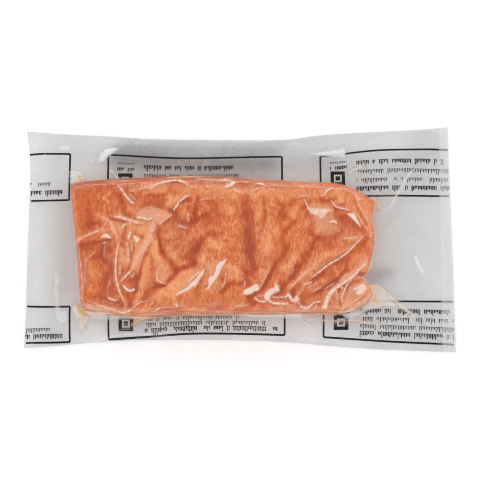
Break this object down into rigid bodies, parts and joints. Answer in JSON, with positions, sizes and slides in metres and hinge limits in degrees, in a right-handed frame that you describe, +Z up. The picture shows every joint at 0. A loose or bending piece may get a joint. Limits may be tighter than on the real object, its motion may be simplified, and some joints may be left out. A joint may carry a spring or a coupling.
{
  "type": "vacuum packed salmon portion",
  "caption": "Skinless salmon fillet portion lying flat in a clear vacuum pouch, with creased film tight over the fish and wide sealed printed margins.",
  "frame": {"origin": "middle of the pack's box in plan, on the flat underside that it rests on", "axes": "+X along the pack's length towards the end with the wider margin, +Y towards the back edge, where the fish is thinner, +Z up"},
  "size_m": [0.211, 0.112, 0.022],
  "materials": {
    "salmon_flesh": "raw orange-pink fish flesh, moist, seen through tight clear film",
    "pouch_film": "clear glossy multilayer plastic film, slightly grey, with small black print"
  },
  "bodies": {
    "root": {"salmon_portion": "salmon_flesh", "vacuum_pouch": "pouch_film"}
  },
  "joints": []
}
